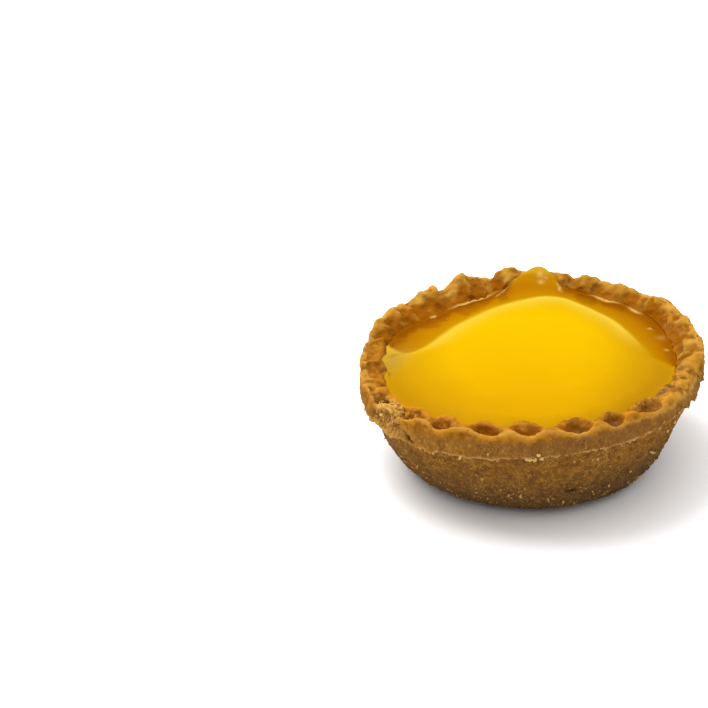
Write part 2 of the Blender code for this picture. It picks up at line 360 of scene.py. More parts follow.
# Along the back the crust banks up from the filling to the uneven crest of its rim, in folds
banked = (height > 18.0) * stretch(angle, *BANK_AT)
filled_to = fill_level(angle)
crest = read(CREST, angle)
foot = read(BANK_FOOT, angle) + 0.3 * lumps(points, 1.7, 25)
up_bank = np.clip((radius - foot) / (CREST_RADIUS - foot), 0.0, 1.0)
bank = filled_to + (crest - filled_to) * (1.0 - (1.0 - up_bank) ** 1.5)
bank -= 0.4 * np.maximum(radius - CREST_RADIUS, 0.0) ** 2
folds = (0.55 + 0.45 * stretch(angle, *LONG_FOLDS_AT)) * folds_up_bank(radius, angle)
bank += (folds + 0.30 * lumps(points, 1.6, 24) + 0.22 * lumps(points, 0.9, 26)) * rising(up_bank, 0.0, 0.25)
points[:, 2] += banked * not_wall * rising(radius, 28.8, 0.5) * (bank - height)
rise = np.clip((height - filled_to) / (crest - filled_to), 0.0, 1.0)
reaches = foot + (CREST_RADIUS - foot) * (1.0 - (1.0 - rise) ** 0.667)
points += out * (banked * inner_wall * rising(height, 18.0, 0.8) * (reaches - radius))[:, None]
old_crest = highest(angle, height, radius > 33.2, 20.0)[whole(angle)]
up_wall = np.clip((height - 19.0) / (old_crest - 19.0), 0.0, 1.0)
points[:, 2] += banked * outer_wall * (crest - 0.2 - old_crest) * up_wall

# The crust closes in on both sides of the tongue of curd
radius, angle, height = polar(points)
aside = np.abs(beside_tongue(radius, angle))
closing = rising(aside - read(TONGUE_HALF_WIDTH, radius), -0.3, 0.9) * falling(aside, 7.5, 2.0)
closing *= rising(radius, 28.9, 1.2) * falling(radius, 35.3, 0.8) * (height > 18.5) * (1.0 - outer_wall)
humps = 24.2 + 0.55 * lumps(points, 1.9, 15) - 0.35 * np.maximum(30.8 - radius, 0.0)
points[:, 2] += closing * np.maximum(humps - height, 0.0)
set_points(case, points)

# All of it in even faces again, without the specks that came loose
apply(case, "REMESH", mode="VOXEL", voxel_size=CASE_GRAIN * MM)
radius, angle, height = polar(get_points(case))
pick(case, (radius < 5.0) & (height < 0.5))
bpy.ops.mesh.select_linked()
bpy.ops.mesh.select_all(action="INVERT")
bpy.ops.mesh.delete(type="VERT")
bpy.ops.object.mode_set(mode="OBJECT")

# The inside under the filling is hidden and the underside is flat, so both are kept coarse
radius, angle, height = polar(get_points(case))
inside = (radius < read(INSIDE, height) + 0.6) & (height < 17.0) & (height > 3.0)
pick(case, inside | (height < 0.03))
bpy.ops.mesh.decimate(ratio=0.05)
bpy.ops.object.mode_set(mode="OBJECT")

# Baked dough: swelling, lumps and sandy grain, left off the underside and the hidden inside
radius, angle, height = polar(get_points(case))
up = above_lip_line(angle, height)
inside = (radius < read(INSIDE, height) + 0.9) & (height < 17.8)
shown = np.where(inside, 0.0, rising(height, 0.1, 1.4))
back = stretch(angle, *ROUGH_BACK_AT)
right = stretch(angle, *ROUGH_RIGHT_AT)
handled = rising(up, 2.0, 2.0)
on_rim = np.maximum(handled, falling(radius, 33.2, 1.5) * rising(height, 19.0, 1.0))
crumbly = rising(angle, CHIP_START, 4.0) * falling(angle, CHIP_SIDE, 4.0) * rising(radius, 31.2, 1.2)
crumbly *= rising(up, 0.0, 1.2) * (0.35 + 0.65 * rising(height, 18.8, 1.4))
weigh(case, "dough", shown)
weigh(case, "sand", shown * (1.0 - (0.45 + 0.3 * back) * handled) * (1.0 - 0.85 * crumbly))
weigh(case, "crumbly", shown * crumbly)
weigh(case, "uneven", shown * on_rim * (0.25 + 0.1 * back))
weigh(case, "craggy", shown * on_rim * np.clip(0.2 + 0.4 * back + 0.6 * right, 0.0, 1.0))
for name, kind, size, strength, group in RELIEF:
    texture = bpy.data.textures.new(name, kind)
    texture.noise_scale = size * MM
    if kind == "CLOUDS":
        texture.noise_depth = 1
    apply(case, "DISPLACE", texture=texture, texture_coords="LOCAL", strength=strength * MM,
          mid_level=0.5, vertex_group=group)

# The fold's ragged lower edge
points = get_points(case)
radius, angle, height = polar(points)
out = outward(points)
up = above_lip_line(angle, height)
on_edge = (radius > 31.5) & ~inside & (up > -1.2)
near_edge = np.where(on_edge, 1.0 - rising(np.abs(up - 0.1), 0.0, 1.3), 0.0)
along_edge = np.stack([angle * 0.6, up * 0.35, 0.0 * up], axis=1)
frill = lumps(along_edge, 1.5, 3) + 0.6 * lumps(along_edge, 0.6, 4)
points[:, 2] -= near_edge * (0.05 + 0.36 * frill)
points += out * (near_edge * (-0.15 + 0.34 * lumps(along_edge, 1.1, 5)))[:, None]

# The crumbled stretch at the near left, with the cleft at its front end
chip_end = read(CHIP_END, height)
in_chip = rising(angle, CHIP_START, 4.0) * falling(angle, chip_end, 0.9)
in_chip *= rising(up, 0.2, 0.8) * rising(radius, 31.8, 1.5)
crumbled = lumps(points, 1.9, 6) + 0.2 * lumps(points, 0.9, 7)
points += out * (in_chip * (-0.35 - 0.6 * falling(height, 21.0, 1.5) + 0.6 * crumbled))[:, None]
points[:, 2] += in_chip * (-0.1 + 0.25 * lumps(points, 1.6, 8))
cleft = bell((angle - chip_end + 1.2, 1.7)) * rising(up, 0.2, 0.6) * falling(height, 20.4, 0.8)
cleft *= rising(radius, 32.5, 0.8)
points -= out * (CLEFT_DEPTH * cleft)[:, None]

# A pit low on the front, and the wall's right side, which leans in a little
along_wall = away(angle, PIT_ANGLE) * WALL_MM_PER_DEGREE
pit = bell((along_wall, PIT_HALF_LENGTH), (height - PIT_HEIGHT, PIT_HALF_WIDTH)) * (radius > 26.0)
points -= out * (PIT_DEPTH * pit)[:, None]
leaning = bell((height - 9.0, 6.0)) * stretch(angle, *LEANING_AT) * (radius > 24.0) * shown
points -= out * (LEANING_DEPTH * leaning)[:, None]
set_points(case, points)

# What the crust's material reads: first the relief, fine and broad, and the fold with its lower edge
relief = standing_out(case, rounds=7)
form = standing_out(case, rounds=90)
radius, angle, height = polar(get_points(case))
fold_edge = np.where(radius > 31.5, bell((up + 0.1, 0.9)), 0.0)
on_rim = rising(up, 2.8, 1.2)
# Relief and form give the crust's colour its painted highlights and painted shade
paint(case, "relief", np.clip(relief / 0.12, -1.5, 1.5))
paint(case, "form", np.clip(form / 0.5, -1.5, 1.5) * (1.0 - fold_edge) * rising(up, 0.5, 1.5))
# A painted highlight along the fold's lower edge
paint(case, "lip_edge_highlight", fold_edge ** 6)
paint(case, "fold", smooth(up / 0.6 + 0.5) * rising(radius, 30.0, 1.0))
paint(case, "rim", on_rim)
paint(case, "browned", on_rim * stretch(angle, *BROWNED_AT))
paint(case, "chip", in_chip * (0.5 + 0.5 * rising(height, 18.8, 1.4)))
# Painted shade in the pit and in the cleft
paint(case, "pit", np.maximum(pit, cleft * 0.75))

# Then a painted highlight along the rim's outer lip, and painted shade over the far side's top
lip_top = highest(angle, height, radius > 33.3, 0.0)
lip_top = np.minimum(lip_top, (np.roll(lip_top, 1) + np.roll(lip_top, -1)) / 2.0 + 0.2)[whole(angle)]
far_top_shade = rising(height, 19.5, 1.5) * stretch(angle, *FAR_SIDE_AT)
paint(case, "lip", bell((height - lip_top + 0.25, 0.38)) * rising(radius, 32.9, 0.4))
paint(case, "far_top_shade", far_top_shade * (1.0 + 0.9 * bell((away(angle, 82.0), 20.0))))

# Then the folds along the back and what the curd left there: a glaze at their foot, and wet stains
filled_to = fill_level(angle)
folds = 0.55 * folds_up_bank(radius, angle) + 0.30 * lumps(points, 1.6, 24)
folds *= stretch(angle, *BANK_AT) * rising(height - filled_to, 0.0, 0.6) * falling(radius, 34.6, 0.8)
glazed = falling(height, filled_to + 1.2 + 0.8 * lumps(points, 1.9, 16), 1.0) * falling(radius, 32.4, 1.4)
facing_in = -(get_points(case, "normal") * out).sum(axis=1)
wet_top = 22.7 + 1.3 * lumps(points, 2.4, 9)
wet_top += 1.2 * bell((away(angle, 90.0), 18.0)) + 0.9 * bell((away(angle, 30.0), 14.0))
wet = falling(height, wet_top, 1.2) * falling(radius, 33.2, 1.8) * smooth(facing_in * 2.0 + 0.7)
wet *= stretch(angle, *WET_AT) * 0.8 * (1.0 - 0.5 * rising(folds, 0.0, 0.2))
for turn, high, strength in STAINS:
    stain = bell((away(angle, turn), 4.5), (height - high, 1.1)) * falling(radius, 32.8, 1.0)
    wet = np.maximum(wet, strength * stain)
# The folds carry painted light on their crests and painted shade in their furrows
paint(case, "folds", np.clip(folds / 0.26, -1.0, 1.0))
paint(case, "glazed", glazed * rising(height, 18.5, 0.6))
paint(case, "wet", wet)
only(case)
bpy.ops.object.shade_smooth()


class Wire:
    """One number or colour inside a material: sums on it add Math nodes, and add() any other node."""

    def __init__(self, tree, socket=None):
        self.tree = tree
        self.socket = socket

    def add(self, kind, settings, values, output=0):
        """A new node: its settings first, then the value or wire for each of its sockets."""
        node = self.tree.nodes.new(kind)
        for name, value in settings.items():
            setattr(node, name, value)
        for name, value in values.items():
            if isinstance(value, Wire):
                self.tree.links.new(value.socket, node.inputs[name])
            else:
                node.inputs[name].default_value = value
        return Wire(self.tree, node.outputs[output])

    def sum(self, operation, *values):
        return self.add("ShaderNodeMath", {"operation": operation}, dict(enumerate(values)))

    def __add__(self, other):
        return self.sum("ADD", self, other)

    def __mul__(self, other):
        return self.sum("MULTIPLY", self, other)

    def __sub__(self, other):
        return self.sum("SUBTRACT", self, other)

    def __rsub__(self, other):
        return self.sum("SUBTRACT", other, self)

    __radd__ = __add__
    __rmul__ = __mul__

    def between(self, low, high):
        """0 where this is at low, 1 where it is at high, held to that range."""
        return self.add("ShaderNodeMapRange", {"interpolation_type": "SMOOTHSTEP"},
                        {"Value": self, "From Min": low, "From Max": high})

    def mix(self, zero, one, blend="MIX"):
        """A colour: zero where this is 0, one (or zero times one) where it is 1."""
        zero, one = ((*c, 1.0) if isinstance(c, tuple) else c for c in (zero, one))
        factor, first, second, result = 0, 6, 7, 2
        return self.add("ShaderNodeMix", {"data_type": "RGBA", "blend_type": blend},
                        {factor: self, first: zero, second: one}, result)

    def part(self, axis):
        """The X, Y or Z of a place or direction."""
        return self.add("ShaderNodeSeparateXYZ", {}, {"Vector": self}, axis)


def new_material(name, **constants):
    """A Principled material with its constant settings, its shader and a first wire: Object coordinates."""
    material = bpy.data.materials.new(name)
    material.use_nodes = True
    shader = material.node_tree.nodes["Principled BSDF"]
    for socket, value in constants.items():
        shader.inputs[socket.replace("_", " ")].default_value = value
    place = Wire(material.node_tree).add("ShaderNodeTexCoord", {}, {}, "Object")
    return material, shader, place


def feed(shader, name, wire):
    """Runs a wire into one of the shader's sockets."""
    wire.tree.links.new(wire.socket, shader.inputs[name])


def grain(place, size, detail=2.0, roughness=0.5):
    """Cloudy noise from 0 to 1 with features of about one size in mm."""
    return place.add("ShaderNodeTexNoise", {},
                     {"Vector": place, "Scale": 1.0 / (size * MM), "Detail": detail, "Roughness": roughness})


def bumps(place, strength, depth, height):
    """A bumpy surface from a wire, with its depth in mm."""
    return place.add("ShaderNodeBump", {}, {"Strength": strength, "Distance": depth * MM, "Height": height})


def painted(place, name):
    """A number that was kept on the piece's vertices."""
    return place.add("ShaderNodeAttribute", {"attribute_name": name}, {}, "Fac")


# The crust's colours, as linear red, green and blue
TOASTED_DARK, TOASTED_LIGHT = (0.212, 0.079, 0.010), (0.302, 0.124, 0.017)
MOTTLED = (0.240, 0.106, 0.016)
RIM_ORANGE, RIM_PALE = (0.215, 0.074, 0.003), (0.470, 0.245, 0.045)
HIGHLIGHT_ON_SWELLING, SHADE_IN_HOLLOWS = (0.455, 0.212, 0.022), (0.200, 0.060, 0.002)
HIGHLIGHT_ON_KNOBS, SHADE_IN_CREVICES = (0.440, 0.205, 0.020), (0.098, 0.034, 0.005)
WALL_LIGHT, WALL_DARK, WALL_DARKEST = (0.330, 0.150, 0.026), (0.115, 0.046, 0.012), (0.088, 0.037, 0.012)
SHADE_NEAR_TABLE = (0.055, 0.036, 0.021)
FOLD_BROWN_AND_SHADE, FOLD_EDGE_HIGHLIGHT = (0.170, 0.072, 0.020), (0.57, 0.34, 0.125)
FLECK, SAND = (0.52, 0.32, 0.10), (0.46, 0.238, 0.034)
BROWNING = (0.93, 0.80, 0.55)
CRUMBLED_SHADED, CRUMBLED_LIT = (0.27, 0.118, 0.014), (0.63, 0.385, 0.100)
FAR_TOP_SHADE = (0.215, 0.082, 0.004)
LIT_FOLDS, SHADED_FURROWS = (0.50, 0.260, 0.045), (0.215, 0.068, 0.001)
GLAZE, LIP_HIGHLIGHT = (0.340, 0.126, 0.003), (0.51, 0.268, 0.045)
WET, SOAKED = (0.250, 0.074, 0.0005), (0.150, 0.036, 0.0003)
SHADE_IN_PIT = (0.030, 0.011, 0.003)
CRUST_IOR, CRUST_SHINE = 1.45, 0.02
FLECK_SPACING = 0.55


def crust_grain(place):
    """The shortcrust's fine mottling and sand, with its bumps."""
    mottle = grain(place, 1.1, 2.0, 0.6)
    sand = grain(place, 0.34, 3.0, 0.65)
    return mottle, sand, bumps(place, 0.7, 0.26, sand * 0.5 + mottle * 0.3 + grain(place, 0.16, 2.0) * 0.35)


def shortcrust(name):
    """Baked shortcrust: golden brown and sandy, with painted highlights on what stands out and painted shade
    in its hollows.
    """
    material, shader, place = new_material(name, IOR=CRUST_IOR, Specular_IOR_Level=CRUST_SHINE)
    mottle, sand, bumpy = crust_grain(place)
    fold, rim, chip = (painted(place, part) for part in ("fold", "rim", "chip"))
    far_top_shade, folds, wet = (painted(place, part) for part in ("far_top_shade", "folds", "wet"))

    # Blotches from the oven, and patches on the rim
    toasted = grain(place, 4.5).between(0.35, 0.68).mix(TOASTED_DARK, TOASTED_LIGHT)
    colour = mottle.between(0.36, 0.7).mix(toasted, MOTTLED)
    patch = grain(place, 1.7, 2.0, 0.55)
    colour = (patch.between(0.48, 0.64) * rim * 0.6).mix(colour, RIM_ORANGE)
    colour = (patch.between(0.48, 0.36) * rim * 0.5).mix(colour, RIM_PALE)

    # Painted highlights on what stands out and painted shade in what lies deep, at both scales
    relief, form = painted(place, "relief"), painted(place, "form")
    colour = form.between(0.0, 1.0).mix(colour, HIGHLIGHT_ON_SWELLING)
    colour = ((0.0 - form).between(0.0, 0.5) * 0.9).mix(colour, SHADE_IN_HOLLOWS)
    colour = (relief.between(0.1, 1.0) * 0.7).mix(colour, HIGHLIGHT_ON_KNOBS)
    shade_in_crevices = (0.0 - relief).between(0.2, 1.3) * (0.6 - 0.6 * chip - 0.35 * far_top_shade)
    colour = shade_in_crevices.mix(colour, SHADE_IN_CREVICES)

    # The wall: coarse mottling, painted shade towards the table and the right, and the fold above it in a
    # browner tone deepened by painted shade towards the right, with a painted highlight along its pale lower
    # edge
    coarse = grain(place, 2.4, 2.0, 0.6)
    spots = grain(place, 1.1, 3.0, 0.6).between(0.64, 0.36)
    sideways, upward = place.part("X"), place.part("Z")
    shade_below = upward.between(0.017, 0.0005) * (0.72 + 0.2 * sideways.between(0.006, 0.024))
    fold_brown_and_shade = fold * (1.0 - rim) * (0.3 + 0.35 * sideways.between(-0.014, 0.004))
    colour = (coarse.between(0.52, 0.66) * (0.5 - 0.5 * rim)).mix(colour, WALL_LIGHT)
    colour = (coarse.between(0.48, 0.34) * (0.55 - 0.35 * fold)).mix(colour, WALL_DARK)
    colour = ((1.0 - fold) * spots * 0.6).mix(colour, WALL_DARKEST)
    colour = shade_below.mix(colour, SHADE_NEAR_TABLE)
    colour = fold_brown_and_shade.mix(colour, FOLD_BROWN_AND_SHADE)
    colour = (painted(place, "lip_edge_highlight") * mottle.between(0.38, 0.52) * 0.85).mix(colour, FOLD_EDGE_HIGHLIGHT)

    # Flecks and sand, the browned near rim, and the paler crumbled stretch, with painted highlights on its
    # raised grains and painted shade between them
    cells = place.add("ShaderNodeTexVoronoi", {},
                      {"Vector": place, "Scale": 1.0 / (FLECK_SPACING * MM), "Randomness": 1.0})
    flecks = (1.0 - cells.between(0.10, 0.32)) * grain(place, 4.2).between(0.44, 0.60)
    colour = (flecks * (0.6 - 0.45 * rim)).mix(colour, FLECK)
    colour = (((sand - 0.5) * 0.9).between(0.0, 0.4) * (1.0 - 0.4 * rim)).mix(colour, SAND)
    colour = painted(place, "browned").mix(colour, BROWNING, "MULTIPLY")
    colour = (chip * 0.7).mix(colour, relief.between(-0.9, 0.9).mix(CRUMBLED_SHADED, CRUMBLED_LIT))

    # The back: painted shade over its top, painted light on the folds and painted shade in the furrows, then
    # glaze and wet from the curd
    colour = (far_top_shade * 0.30).mix(colour, FAR_TOP_SHADE)
    colour = (folds.between(0.1, 1.0) * 0.55).mix(colour, LIT_FOLDS)
    colour = ((0.0 - folds).between(0.0, 0.9) * 0.85).mix(colour, SHADED_FURROWS)
    colour = (painted(place, "glazed") * 0.75).mix(colour, GLAZE)
    # A painted highlight along the rim's outer lip
    colour = (painted(place, "lip") * mottle.between(0.30, 0.50) * 0.65).mix(colour, LIP_HIGHLIGHT)
    colour = (wet.between(0.0, 0.8) * 0.9).mix(colour, WET)
    colour = wet.between(0.75, 1.0).mix(colour, SOAKED)
    # Near-black painted shade in the pit and the cleft
    colour = painted(place, "pit").mix(colour, SHADE_IN_PIT)
    feed(shader, "Base Color", colour)
    feed(shader, "Roughness", 0.78 - 0.45 * wet)
    feed(shader, "Normal", bumpy)
    return material


case.data.materials.clear()
case.data.materials.append(shortcrust("baked_shortcrust"))
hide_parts("pastry_case")
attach(case, "root")


# ---- Loose crumbs of the crust ----------------------------------------------------------------
# Grains and flakes of the same shortcrust that rubbed loose as the tart came out of its tin. They
# stick along the fold's lower edge, in the crumbled stretch of the rim and over the lower wall.

CRUMBS = 900
CRUMB_SEEDS = (31, 37, 41, 43, 47)
CRUMB_WIDTH = 1.0
CRUMB_SIZE, CRUMB_SIZE_SPREAD = 0.26, 0.46
CRUMB_LIFT = 0.18
CRUMB_DARK, CRUMB_LIGHT, CRUMB_SAND = (0.36, 0.170, 0.036), (0.66, 0.43, 0.16), (0.46, 0.24, 0.06)

# The largest crumbs: angle, height, distance from the axis, size
LARGE_CRUMBS = (
    (271.0, 17.3, 34.8, (1.7, 0.9, 1.0)),
    (270.4, 16.9, 34.6, (1.0, 1.3, 0.9)),
    (271.9, 17.7, 34.9, (1.1, 0.8, 1.2)),
    (273.2, 19.3, 34.9, (1.0, 0.8, 0.9)),
    (274.2, 18.4, 34.8, (0.9, 0.8, 1.1)),
    (248.5, 17.6, 35.5, (1.3, 0.8, 0.7)),
    (325.1, 10.6, 29.9, (0.6, 0.7, 1.9)),
    (331.0, 14.2, 32.2, (0.9, 0.8, 0.8)),
    (334.0, 15.6, 32.9, (0.8, 0.7, 0.9)),
    (213.0, 18.3, 35.6, (1.0, 0.7, 0.8)),
)

shapes = []
for seed in CRUMB_SEEDS:
    bpy.ops.object.select_all(action="DESELECT")
    bpy.ops.mesh.primitive_ico_sphere_add(subdivisions=2, radius=CRUMB_WIDTH / 2 * MM,
                                          location=(0.0, 0.0, 0.0))
    shape = bpy.context.active_object
    shape.name = "crumb_shape"
    bpy.ops.object.mode_set(mode="EDIT")
    bpy.ops.transform.vertex_random(offset=0.14 * MM, uniform=0.4, normal=0.6, seed=seed)
    bpy.ops.transform.resize(value=(1.0, 0.86, 0.72))
    bpy.ops.mesh.bisect(plane_co=(0.22 * MM, 0.0, -0.1 * MM), plane_no=(0.8, 0.3, 0.5 - 0.02 * seed),
                        clear_outer=True, use_fill=True)
    bpy.ops.mesh.select_all(action="SELECT")
    bpy.ops.mesh.normals_make_consistent(inside=False)
    bpy.ops.object.mode_set(mode="OBJECT")
    apply(shape, "DECIMATE", ratio=0.6)
    shapes.append(shape)

# How likely a small crumb is at each vertex of the crust, added up over them all
points, normals = get_points(case), get_points(case, "normal")
corners = [tuple(face.vertices) for face in case.data.polygons]
case_surface = BVHTree.FromPolygons([tuple(point) for point in points], corners)
radius, angle, height = polar(points)
up = above_lip_line(angle, height)
patchy = smooth(lumps(points, 5.0, 12) * 1.6 + 0.35)
on_edge = np.where(radius > 32.0, bell((up + 0.1, 0.5)), 0.0)
on_wall = np.where((radius > 24.0) & (up < -0.8) & (height > 1.0), patchy, 0.0)
on_fold = np.where((radius > 33.5) & (up > 0.5) & (up < 3.5), 1.0, 0.0)
chance = np.cumsum(0.30 * on_edge + 0.14 * on_wall + 0.03 * on_fold + 0.5 * in_chip)

draw = random.Random(24)
crumbs = []


def drop_crumb(place, normal, size, tone):
    """Copies one of the shapes to a place on the crust, partly sunk in it and turned at random."""
    axis = Vector((draw.gauss(0, 1), draw.gauss(0, 1), draw.gauss(0, 1)))
    turned = axis.rotation_difference(Vector((0, 0, 1)))
    middle = Vector(place + normal * CRUMB_LIFT * max(size)) * MM
    mesh = shapes[draw.randrange(len(shapes))].data.copy()
    mesh.transform(Matrix.LocRotScale(middle, turned, Vector(size)))
    crumb = bpy.data.objects.new("crust_crumb", mesh)
    bpy.context.scene.collection.objects.link(crumb)
    paint(crumb, "tone", np.full(len(mesh.vertices), tone))
    crumbs.append(crumb)


for _ in range(CRUMBS):
    spot = int(np.searchsorted(chance, draw.random() * chance[-1]))
    size = CRUMB_SIZE + CRUMB_SIZE_SPREAD * draw.random() ** 3
    sizes = (size, size * draw.uniform(0.7, 1.3), size * draw.uniform(0.6, 1.1))
    drop_crumb(points[spot], normals[spot], sizes, draw.random() * 0.7)
for turn, high, from_axis, sizes in LARGE_CRUMBS:
    toward = Vector((math.cos(math.radians(turn)), math.sin(math.radians(turn)), 0.0))
    spot, facing, _, _ = case_surface.find_nearest(toward * from_axis + Vector((0.0, 0.0, high)))
    drop_crumb(np.array(spot), np.array(facing), sizes, 1.0)
for shape in shapes:
    bpy.data.objects.remove(shape)

bpy.ops.object.select_all(action="DESELECT")
for crumb in crumbs:
    crumb.select_set(True)
bpy.context.view_layer.objects.active = crumbs[0]
bpy.ops.object.join()
crumbs = crumbs[0]
crumbs.name = crumbs.data.name = "crust_crumbs"
bpy.ops.object.shade_smooth_by_angle(angle=math.radians(50.0))


def crumb_crust(name):
    """The same shortcrust, dry and pale as it breaks, each crumb in a tone of its own."""
    material, shader, place = new_material(name, IOR=CRUST_IOR, Specular_IOR_Level=CRUST_SHINE)
    mottle, sand, bumpy = crust_grain(place)
    colour = painted(place, "tone").mix(CRUMB_DARK, CRUMB_LIGHT)
    feed(shader, "Base Color", (sand.between(0.3, 0.7) * 0.5).mix(colour, CRUMB_SAND))
    feed(shader, "Normal", bumpy)
    return material


crumbs.data.materials.append(crumb_crust("loose_crumbs"))
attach(crumbs, "root")


# ---- Lemon curd -------------------------------------------------------------------------------
# A glossy set filling of lemon, egg, sugar and butter, poured in hot. It stands domed, sinks to a darker wet
# edge along the back where it boiled against the crust, and a tongue of it ran up over the rim there before
# it set. That edge's amber also holds the far rim's painted reflection, and the colour holds a painted
# sheen, painted glints and painted shade.

CURD_COLUMNS = 180
CURD_RINGS = 38
CURD_RADIUS = 30.0
CURD_TOP = 23.0
INTO_CRUST = 0.35
TONGUE_ANGLE, TONGUE_END = 89.0, 35.0
SHEEN_BAND_AT = (98.0, 95.0, 35.0)

# The curd's hidden lower part, ring by ring: radius, height
CURD_SIDES = ((29.9, 19.6), (29.1, 18.4), (28.6, 17.4), (26.7, 13.5), (24.3, 8.9), (21.1, 4.9), (18.7, 3.9))

# The tongue's upper side: distance from the axis, height
TONGUE_TOP = ((25.0, 22.9), (27.5, 23.2), (29.5, 23.9), (31.5, 24.85), (33.0, 25.4), (33.8, 25.45),
              (34.5, 25.1), (35.0, 24.6), (35.3, 24.0))

# Where the dome ends and the amber edge starts: angle, distance from the axis
SHOULDER = ((0, 24.2), (7, 23.6), (12.5, 22.8), (24, 22.4), (34, 22.5), (42, 23.0), (54, 23.5),
            (65, 24.7), (70, 25.4), (75, 26.4), (82.5, 25.7), (91, 24.1), (102, 23.0), (112, 21.9),
            (123, 20.4), (134, 19.8), (153, 19.6), (166, 20.4), (173, 21.6), (179, 23.8), (185, 26.8),
            (191, 29.0), (196, 29.8), (354, 29.8), (356.5, 27.0), (360, 24.2))

# How wide the change from yellow to amber is: angle, width
BOUNDARY_WIDTH = ((0, 1.1), (50, 1.2), (68, 1.0), (85, 0.9), (95, 1.4), (110, 2.3), (160, 1.9),
                  (180, 1.3), (360, 1.1))

# The amber's round end at the left: distance from the axis, angle
LOBE_END = ((24.0, 178.5), (24.8, 177.9), (25.8, 176.3), (27.0, 173.2), (28.6, 169.5), (29.6, 167.1),
            (30.5, 165.0))

# Painted glints along the curd's wet edge at the crust: from one angle to another, width, strength
GLINT_LINES = ((103.0, 129.0, 0.24, 1.0), (135.0, 139.0, 0.32, 0.8), (52.5, 67.5, 0.28, 1.0),
               (56.5, 61.0, 0.5, 0.9), (40.5, 50.0, 0.33, 0.9), (77.0, 81.0, 0.25, 0.9))

# Small bubbles and drops, each with a painted glint: angle, distance from the axis, size, strength
GLINTING_DROPS = ((87.5, 31.4, 0.6, 0.7), (86.9, 29.6, 0.55, 0.65), (85.3, 30.9, 0.4, 0.5),
               (28.9, 27.4, 0.45, 0.7), (9.2, 27.5, 0.4, 0.8), (20.0, 27.9, 1.0, 0.25))

bpy.ops.object.select_all(action="DESELECT")
bpy.ops.mesh.primitive_circle_add(vertices=CURD_COLUMNS, radius=CURD_RADIUS * MM, fill_type="NOTHING",
                                  location=(0.0, 0.0, CURD_TOP * MM))
curd = bpy.context.active_object
curd.name = curd.data.name = "curd_filling"
bpy.ops.object.transform_apply(location=True)
bpy.ops.object.mode_set(mode="EDIT")
for ring in range(CURD_RINGS, 1, -1):
    bpy.ops.mesh.extrude_edges_move()
    bpy.ops.transform.resize(value=((ring - 1) / ring, (ring - 1) / ring, 1.0))
bpy.ops.mesh.edge_face_add()
bpy.ops.mesh.poke()
bpy.ops.object.mode_set(mode="OBJECT")
pick(curd, polar(get_points(curd))[0] > CURD_RADIUS - 0.01)
last_radius, last_height = CURD_RADIUS, CURD_TOP
for ring_radius, ring_height in CURD_SIDES:
    bpy.ops.mesh.extrude_edges_move()
    bpy.ops.transform.resize(value=(ring_radius / last_radius, ring_radius / last_radius, 1.0))
    bpy.ops.transform.translate(value=(0.0, 0.0, (ring_height - last_height) * MM))
    last_radius, last_height = ring_radius, ring_height
bpy.ops.mesh.edge_face_add()
bpy.ops.mesh.poke()
bpy.ops.mesh.select_all(action="SELECT")
bpy.ops.mesh.normals_make_consistent(inside=False)
bpy.ops.object.mode_set(mode="OBJECT")
apply(curd, "SUBSURF", subdivision_type="SIMPLE", levels=1, render_levels=1)

# At every degree: how high the curd meets the crust, how far out that is, and where its dome ends
degrees = np.arange(360.0)
meets = fill_level(degrees) + 2.3 * bell((away(degrees, TONGUE_ANGLE), 11.0))
meets += 0.6 * bell((away(degrees, 186.0), 18.0))
reach = []
for turn, level in zip(np.radians(degrees), meets):
    hit = case_surface.ray_cast(Vector((0.0, 0.0, level)), Vector((math.cos(turn), math.sin(turn), 0.0)))
    reach.append(hit[3] if hit[0] is not None else CURD_RADIUS)
reach = np.minimum(np.array(reach), CURD_RADIUS + 0.4)
shoulder = read(SHOULDER, degrees)


def evened(values):
    """Each degree's value, averaged with those of the degrees beside it."""
    return (np.roll(values, 1) + values + np.roll(values, -1)) / 3.0


def round_the_tart(angle, values):
    """Reads a list of 360 values, one for each degree, at any angle."""
    return np.interp(angle, np.arange(361), np.append(values, values[0]))


for _ in range(3):
    reach = np.maximum(reach, evened(reach))
for _ in range(5):
    shoulder = evened(shoulder)

# The dome settles against the crust and sinks along the back, with small drops standing on it
points = get_points(curd)
radius, angle, height = polar(points)
top = height > CURD_TOP - 0.01
meets, reach, shoulder = (round_the_tart(angle, values) for values in (meets, reach, shoulder))
on_tongue = stretch(angle, TONGUE_ANGLE, 13.0, 5.0)
tongue_end = TONGUE_END - 2.6 * (away(angle, TONGUE_ANGLE) / 7.0) ** 2
edge = reach + INTO_CRUST + np.maximum(tongue_end - reach, 0.0) * on_tongue
r = edge * np.where(top, radius / CURD_RADIUS, 1.0)
run = np.clip((reach - r) / np.maximum(reach - shoulder + 5.0, 4.0), 0.0, 1.0)
z = meets + (CURD_TOP - 0.5 * (r / 29.0) ** 2 - meets) * (1.0 - (1.0 - run) ** 1.7)
z += 0.5 * np.exp(-((edge - r) / 0.55)) * (1.0 - on_tongue)
for turn, from_axis, size, strength in GLINTING_DROPS:
    z += 0.5 * strength * bell((away(angle, turn) * np.radians(r), size), (r - from_axis, size)) * top

